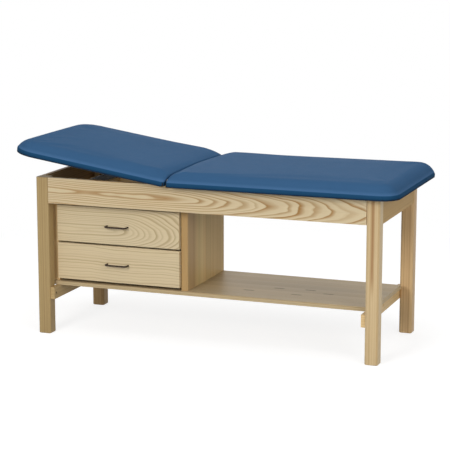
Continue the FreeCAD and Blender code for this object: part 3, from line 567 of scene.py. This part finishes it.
def coverHeight(x, y, shape, look):
    # a steep band over the board's edge, a long round above it, and a soft fall towards the joint
    inside, fromJoint = insideOf(x, y, shape, look)
    lean, rise = look["lean"], look["rise"]
    radius = rise / (1 - math.sin(lean))
    left = max(0.0, radius * math.cos(lean) - max(0.0, inside))
    share = (math.sqrt(radius * radius - left * left) - radius * math.sin(lean)) / rise
    near = max(0.0, 1 - max(0.0, fromJoint) / shape["jointReach"])
    fall = look["jointFall"] + look["cornerFall"] * math.exp(-max(0.0, inside) / look["cornerReach"])
    full = rise + look["crown"] * (1 - (y / look["halfWidth"]) ** 2) + shape["fuller"] * max(0.0, fromJoint)
    return look["bottom"] + look["band"] + share * full * (1 - fall * near * near)


def cushionMesh(name, shape, look):
    # rings from the underside up over the band and in to the middle of the crowned top
    start, end = sorted((look["hinge"][0] + shape["joint"], look["hinge"][0] + shape["end"]))
    nearJoint, outer = look["jointCorner"], shape["outerCorner"]
    radii = (nearJoint, outer, outer, nearJoint) if sideOf(shape) > 0 else (outer, nearJoint, nearJoint, outer)
    bottom, halfWidth = look["bottom"], look["halfWidth"]
    mesh = bmesh.new()
    rings = []
    for inset, share in look["edge"] + tuple((inset, 1.0) for inset in look["topInsets"]):
        low, high = (start + inset, inset - halfWidth), (end - inset, halfWidth - inset)
        made = []
        for x, y in roundedRing(low, high, [radius - inset for radius in radii], look):
            height = coverHeight(x, y, shape, look) - look["shrink"] - bottom
            made.append(mesh.verts.new((x, y, bottom + height * share)))
        rings.append(made)
    for lower, upper in zip(rings, rings[1:]):
        count = len(lower)
        for i in range(count):
            j = (i + 1) % count
            mesh.faces.new((lower[i], lower[j], upper[j], upper[i]))
    mesh.faces.new(list(reversed(rings[0])))
    mesh.faces.new(rings[-1])
    bmesh.ops.recalc_face_normals(mesh, faces=mesh.faces)
    data = bpy.data.meshes.new(name)
    mesh.to_mesh(data)
    mesh.free()
    return newObject(name, data)


def underLine(shape, look, inset, fromJoint):
    # a line under the cushion, inset from its three outer sides, which starts and ends before the joint
    side = sideOf(shape)
    joint, end = look["hinge"][0] + shape["joint"], look["hinge"][0] + shape["end"]
    halfWidth, outer, steps = look["halfWidth"], shape["outerCorner"], 12
    line = [(joint + side * fromJoint, inset - halfWidth)]
    for first, middle in ((270, outer - halfWidth), (0, halfWidth - outer)):
        for step in range(steps + 1):
            turn = math.radians(first + 90 * step / steps)
            x = end + side * ((outer - inset) * math.cos(turn) - outer)
            line.append((x, middle + (outer - inset) * math.sin(turn)))
    line.append((joint + side * fromJoint, halfWidth - inset))
    return line


def addMargin(thing, shape, look):
    # the cover's edge, turned under the board
    mesh = bmesh.new()
    mesh.from_mesh(thing.data)
    high = look["bottom"] + look["clear"]
    low = high - look["marginThick"]
    strips = []
    for inset, height in (
        (look["marginInset"], high), (look["marginInset"], low), (look["margin"], low), (look["margin"], high),
    ):
        line = underLine(shape, look, inset, look["marginFromJoint"])
        strips.append([mesh.verts.new((x, y, height)) for x, y in line])
    fresh = []
    for lower, upper in zip(strips, strips[1:] + strips[:1]):
        for i in range(len(lower) - 1):
            fresh.append(mesh.faces.new((lower[i], lower[i + 1], upper[i + 1], upper[i])))
    fresh.append(mesh.faces.new([strip[0] for strip in strips]))
    fresh.append(mesh.faces.new([strip[-1] for strip in reversed(strips)]))
    bmesh.ops.recalc_face_normals(mesh, faces=fresh)
    mesh.to_mesh(thing.data)
    mesh.free()


def applied(thing):
    # the object with its modifiers baked into a plain mesh
    graph = bpy.context.evaluated_depsgraph_get()
    graph.update()
    mesh = bpy.data.meshes.new_from_object(thing.evaluated_get(graph))
    old = thing.data
    thing.modifiers.clear()
    thing.data = mesh
    if old.users == 0:
        bpy.data.meshes.remove(old)


def swell(thing, jointX, look):
    # air pressure in a closed cloth, held where it lies on the board and at the joint
    start = [vertex.co.copy() for vertex in thing.data.vertices]
    held = thing.vertex_groups.new(name="held")
    for vertex in thing.data.vertices:
        onBoard = vertex.co.z < look["bottom"] + look["band"] - look["heldBelow"]
        atJoint = abs(vertex.co.x - jointX) < look["heldAtJoint"]
        if onBoard or atJoint:
            held.add([vertex.index], 1.0, "REPLACE")
    cloth = thing.modifiers.new("cover", "CLOTH")
    cloth.settings.use_pressure = True
    cloth.settings.uniform_pressure_force = look["pressure"]
    cloth.settings.effector_weights.gravity = 0.0
    cloth.settings.vertex_group_mass = "held"
    cloth.settings.tension_stiffness = look["stiffness"]
    cloth.settings.compression_stiffness = look["stiffness"]
    cloth.settings.bending_stiffness = look["bending"]
    cloth.collision_settings.use_collision = False
    cloth.point_cache.frame_start = 1
    cloth.point_cache.frame_end = look["steps"]
    for step in range(1, look["steps"] + 1):
        bpy.context.scene.frame_set(step)
    applied(thing)
    bpy.context.scene.frame_set(1)
    for vertex, before in zip(thing.data.vertices, start):
        move = vertex.co - before
        if move.length > look["cap"]:
            vertex.co = before + move * (look["cap"] / move.length)


def puffUp(thing, shape, look):
    # an even mesh, swollen against the foam, then kept off the board and off the other cushion
    jointX = look["hinge"][0] + shape["joint"]
    remesh = thing.modifiers.new("even", "REMESH")
    remesh.mode = "VOXEL"
    remesh.voxel_size = look["voxel"]
    applied(thing)
    swell(thing, jointX, look)
    smooth = thing.modifiers.new("settle", "SMOOTH")
    smooth.factor = 0.5
    smooth.iterations = 3
    applied(thing)
    bottom, tuck = look["bottom"], look["tuck"]
    for vertex in thing.data.vertices:
        x, y, z = vertex.co
        inside, fromJoint = insideOf(x, y, shape, look)
        vertex.co.x = max(x, jointX) if sideOf(shape) > 0 else min(x, jointX)
        low = bottom + look["clear"]
        if z < bottom + look["tuckBelow"] and (inside > tuck or fromJoint < tuck):
            low = bottom + look["tuckTo"]
        vertex.co.z = max(z, low)
    thing.data.shade_smooth()


def turnToRest(thing, look):
    # the backrest is made flat and then lifted to where it is stored
    hingeX, hingeZ = look["hinge"]
    cosine, sine = math.cos(look["restTurn"]), math.sin(look["restTurn"])
    for vertex in thing.data.vertices:
        x, z = vertex.co.x - hingeX, vertex.co.z - hingeZ
        vertex.co.x = hingeX + x * cosine + z * sine
        vertex.co.z = hingeZ + z * cosine - x * sine


def makeCushion(name, node, body, shape, look):
    thing = cushionMesh(name, shape, look)
    puffUp(thing, shape, look)
    addMargin(thing, shape, look)
    # the height while the cushion lies flat, which the vinyl reads to place its painted shade and painted highlight
    height = thing.data.attributes.new("height", "FLOAT", "POINT")
    for vertex, value in zip(thing.data.vertices, height.data):
        value.value = vertex.co.z
    dress(thing, vinyl)
    if sideOf(shape) < 0:
        for vertex in thing.data.vertices:
            vertex.co.z += look["lift"]
        turnToRest(thing, look)
    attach(thing, body)
    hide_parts(node)


makeCushion("main_cushion_vinyl", "main_cushion", "frame", mainShape, cushionLook)
makeCushion("backrest_cushion_vinyl", "backrest_cushion", "backrest", backShape, cushionLook)
print("cushions finished")

# Staples that hold the covers' turned edges under the boards. The inputs are the tree's own.
stapleLook = {
    "inset": 0.016, "fromJoint": 0.040, "dip": -0.33, "wireSides": 6, "seed": 7,
    "inputs": {"spacing": 0.038, "width": 0.0105, "leg": 0.0030, "wire": 0.00035, "turn": 0.16},
}


def stapleTree(look, material):
    # bent wires set out along the curve that the mesh draws
    tree = bpy.data.node_groups.new("staples", "GeometryNodeTree")
    tree.interface.new_socket("Geometry", in_out="INPUT", socket_type="NodeSocketGeometry")
    for name in look["inputs"]:
        tree.interface.new_socket(name, in_out="INPUT", socket_type="NodeSocketFloat")
    tree.interface.new_socket("Geometry", in_out="OUTPUT", socket_type="NodeSocketGeometry")
    path = Wire(tree).node("NodeGroupInput")
    spacing, width, leg, wire, turn = (path.also(number) for number in range(1, 6))
    right = width * 0.5
    left = 0.0 - right
    dip = leg * look["dip"]
    bendInputs = {
        "Start": path.vector(left, 0.0, leg), "Start Handle": path.vector(left, 0.0, dip),
        "End Handle": path.vector(right, 0.0, dip), "End": path.vector(right, 0.0, leg),
    }
    bend = path.node("GeometryNodeCurvePrimitiveBezierSegment", inputs=bendInputs)
    section = path.node("GeometryNodeCurvePrimitiveCircle", inputs={"Resolution": look["wireSides"], "Radius": wire})
    staple = path.node("GeometryNodeCurveToMesh", inputs={"Curve": bend, "Profile Curve": section, "Fill Caps": True})
    curve = path.node("GeometryNodeMeshToCurve", inputs={"Mesh": path})
    points = path.node("GeometryNodeCurveToPoints", {"mode": "LENGTH"}, {"Curve": curve, "Length": spacing})
    level = path.node("FunctionNodeAlignEulerToVector", {"axis": "X", "pivot_axis": "Z"}, {"Vector": points.also(1)})
    # sockets 2, 3 and output 1 of the random value are its lowest, its highest and a plain number
    chance = path.node("FunctionNodeRandomValue", inputs={2: 0.0 - turn, 3: turn, "Seed": look["seed"]}, output=1)
    turned = path.node("ShaderNodeVectorMath", {"operation": "ADD"}, {0: level, 1: path.vector(0.0, 0.0, chance)})
    row = path.node("GeometryNodeInstanceOnPoints", inputs={"Points": points, "Instance": staple, "Rotation": turned})
    solid = path.node("GeometryNodeRealizeInstances", inputs={"Geometry": row})
    painted = path.node("GeometryNodeSetMaterial", inputs={"Geometry": solid, "Material": material})
    end = tree.nodes.new("NodeGroupOutput")
    tree.links.new(painted.socket, end.inputs[0])
    return tree


def makeStaples(name, body, shape, look, cushion):
    line = underLine(shape, cushion, look["inset"], look["fromJoint"])
    height = cushion["bottom"] - cushion["marginThick"] - look["inputs"]["wire"] * 0.5
    data = bpy.data.meshes.new(name)
    data.from_pydata([(x, y, height) for x, y in line], [(i, i + 1) for i in range(len(line) - 1)], [])
    thing = newObject(name, data)
    tree = stapleTree(look, metals["zincSteel"])
    modifier = thing.modifiers.new("staples", "NODES")
    modifier.node_group = tree
    for socket in tree.interface.items_tree:
        if socket.name in look["inputs"]:
            modifier[socket.identifier] = look["inputs"][socket.name]
    applied(thing)
    thing.data.shade_smooth()
    if sideOf(shape) < 0:
        turnToRest(thing, cushion)
    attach(thing, body)


makeStaples("main_cushion_staples", "frame", mainShape, stapleLook, cushionLook)
makeStaples("backrest_cushion_staples", "backrest", backShape, stapleLook, cushionLook)
print("staples finished")


# Studio. The camera and glossy surfaces see the world white, and the object gets only this share of it.
studio = {
    "cameraPlace": (2.60950, -6.93097, 1.94278),
    "cameraTilt": 0.1926, "cameraTurn": 0.3596, "lens": 132.73, "sensor": 36.0, "clip": (0.1, 100.0),
    "world": 0.36, "floorColour": grey(0.4), "floorGlow": 0.76, "floorHalf": 9.0, "floorFade": (1.3, 2.6),
    "lamps": (
        # place, aim, size, power, share of it in reflections
        ((-0.9, -5.4, 2.5), (0.0, 0.0, 0.5), 1.8, 130.0, 1.0),
        ((0.2, -0.4, 4.2), (0.0, 0.0, 0.6), 3.0, 70.0, 1.0),
        ((3.9, -3.0, 1.7), (0.5, 0.0, 0.5), 2.4, 62.0, 1.0),
        ((-1.6, 5.0, 2.4), (0.0, 0.0, 0.5), 2.6, 24.0, 0.0),
    ),
}


def makeCamera(look):
    data = bpy.data.cameras.new("camera")
    camera = newObject("camera", data)
    camera.location = look["cameraPlace"]
    camera.rotation_euler = (math.pi / 2 - look["cameraTilt"], 0.0, look["cameraTurn"])
    data.sensor_width = look["sensor"]
    data.lens = look["lens"]
    data.clip_start, data.clip_end = look["clip"]
    bpy.context.scene.camera = camera


def makeLamps(look):
    for number, (place, aim, size, power, mirrored) in enumerate(look["lamps"]):
        data = bpy.data.lights.new("lamp" + str(number), "AREA")
        data.shape = "SQUARE"
        data.size = size
        data.energy = power
        data.specular_factor = mirrored
        lamp = newObject("lamp" + str(number), data)
        lamp.location = place
        lamp.rotation_euler = (Vector(aim) - Vector(place)).to_track_quat("-Z", "Y").to_euler()


def shownOrMirrored(start):
    # 1 where the camera looks, and where glossy and clear surfaces show the room
    path = start.node("ShaderNodeLightPath")
    glossy, clear = path.also(3), path.also(6)
    seen = path + glossy + clear
    return seen.maths("MINIMUM", seen, 1.0)


def makeWorld(look):
    world = bpy.data.worlds.new("room")
    world.use_nodes = True
    bpy.context.scene.world = world
    sky = world.node_tree.nodes["Background"]
    seen = shownOrMirrored(Wire(world.node_tree))
    sky.inputs["Color"].default_value = grey(1.0)
    feed(seen * (1.0 - look["world"]) + look["world"], sky, "Strength")


def floorMaterial(look):
    # a floor that keeps the shadow near the object and goes over into the world further out
    material = bpy.data.materials.new("paleFloor")
    material.use_nodes = True
    tree = material.node_tree
    tree.nodes.clear()
    start = Wire(tree)
    seen = shownOrMirrored(start)
    place = start.node("ShaderNodeTexCoord", output="Object")
    x = start.node("ShaderNodeSeparateXYZ", inputs={0: place})
    y = x.also(1)
    nearEdge, farEdge = look["floorFade"]
    far = ((x * x + y * y) ** 0.5).ramp(nearEdge, farEdge)
    matt = start.node("ShaderNodeBsdfDiffuse", inputs={"Color": look["floorColour"]})
    glow = start.node("ShaderNodeEmission", inputs={"Color": grey(1.0), "Strength": seen * look["floorGlow"]})
    near = start.node("ShaderNodeAddShader", inputs={0: matt, 1: glow})
    whiteness = seen * (1.0 - look["world"]) + look["world"]
    white = start.node("ShaderNodeEmission", inputs={"Color": grey(1.0), "Strength": whiteness})
    blend = start.node("ShaderNodeMixShader", inputs={0: far, 1: near, 2: white})
    end = tree.nodes.new("ShaderNodeOutputMaterial")
    tree.links.new(blend.socket, end.inputs["Surface"])
    return material


def makeFloor(look):
    half = look["floorHalf"]
    corners = [(-half, -half, 0), (half, -half, 0), (half, half, 0), (-half, half, 0)]
    data = bpy.data.meshes.new("floor")
    data.from_pydata(corners, [], [(0, 1, 2, 3)])
    floor = newObject("floor", data)
    dress(floor, floorMaterial(look))


makeCamera(studio)
makeLamps(studio)
makeWorld(studio)
makeFloor(studio)
bpy.context.scene.view_settings.view_transform = "Standard"
print("studio finished")
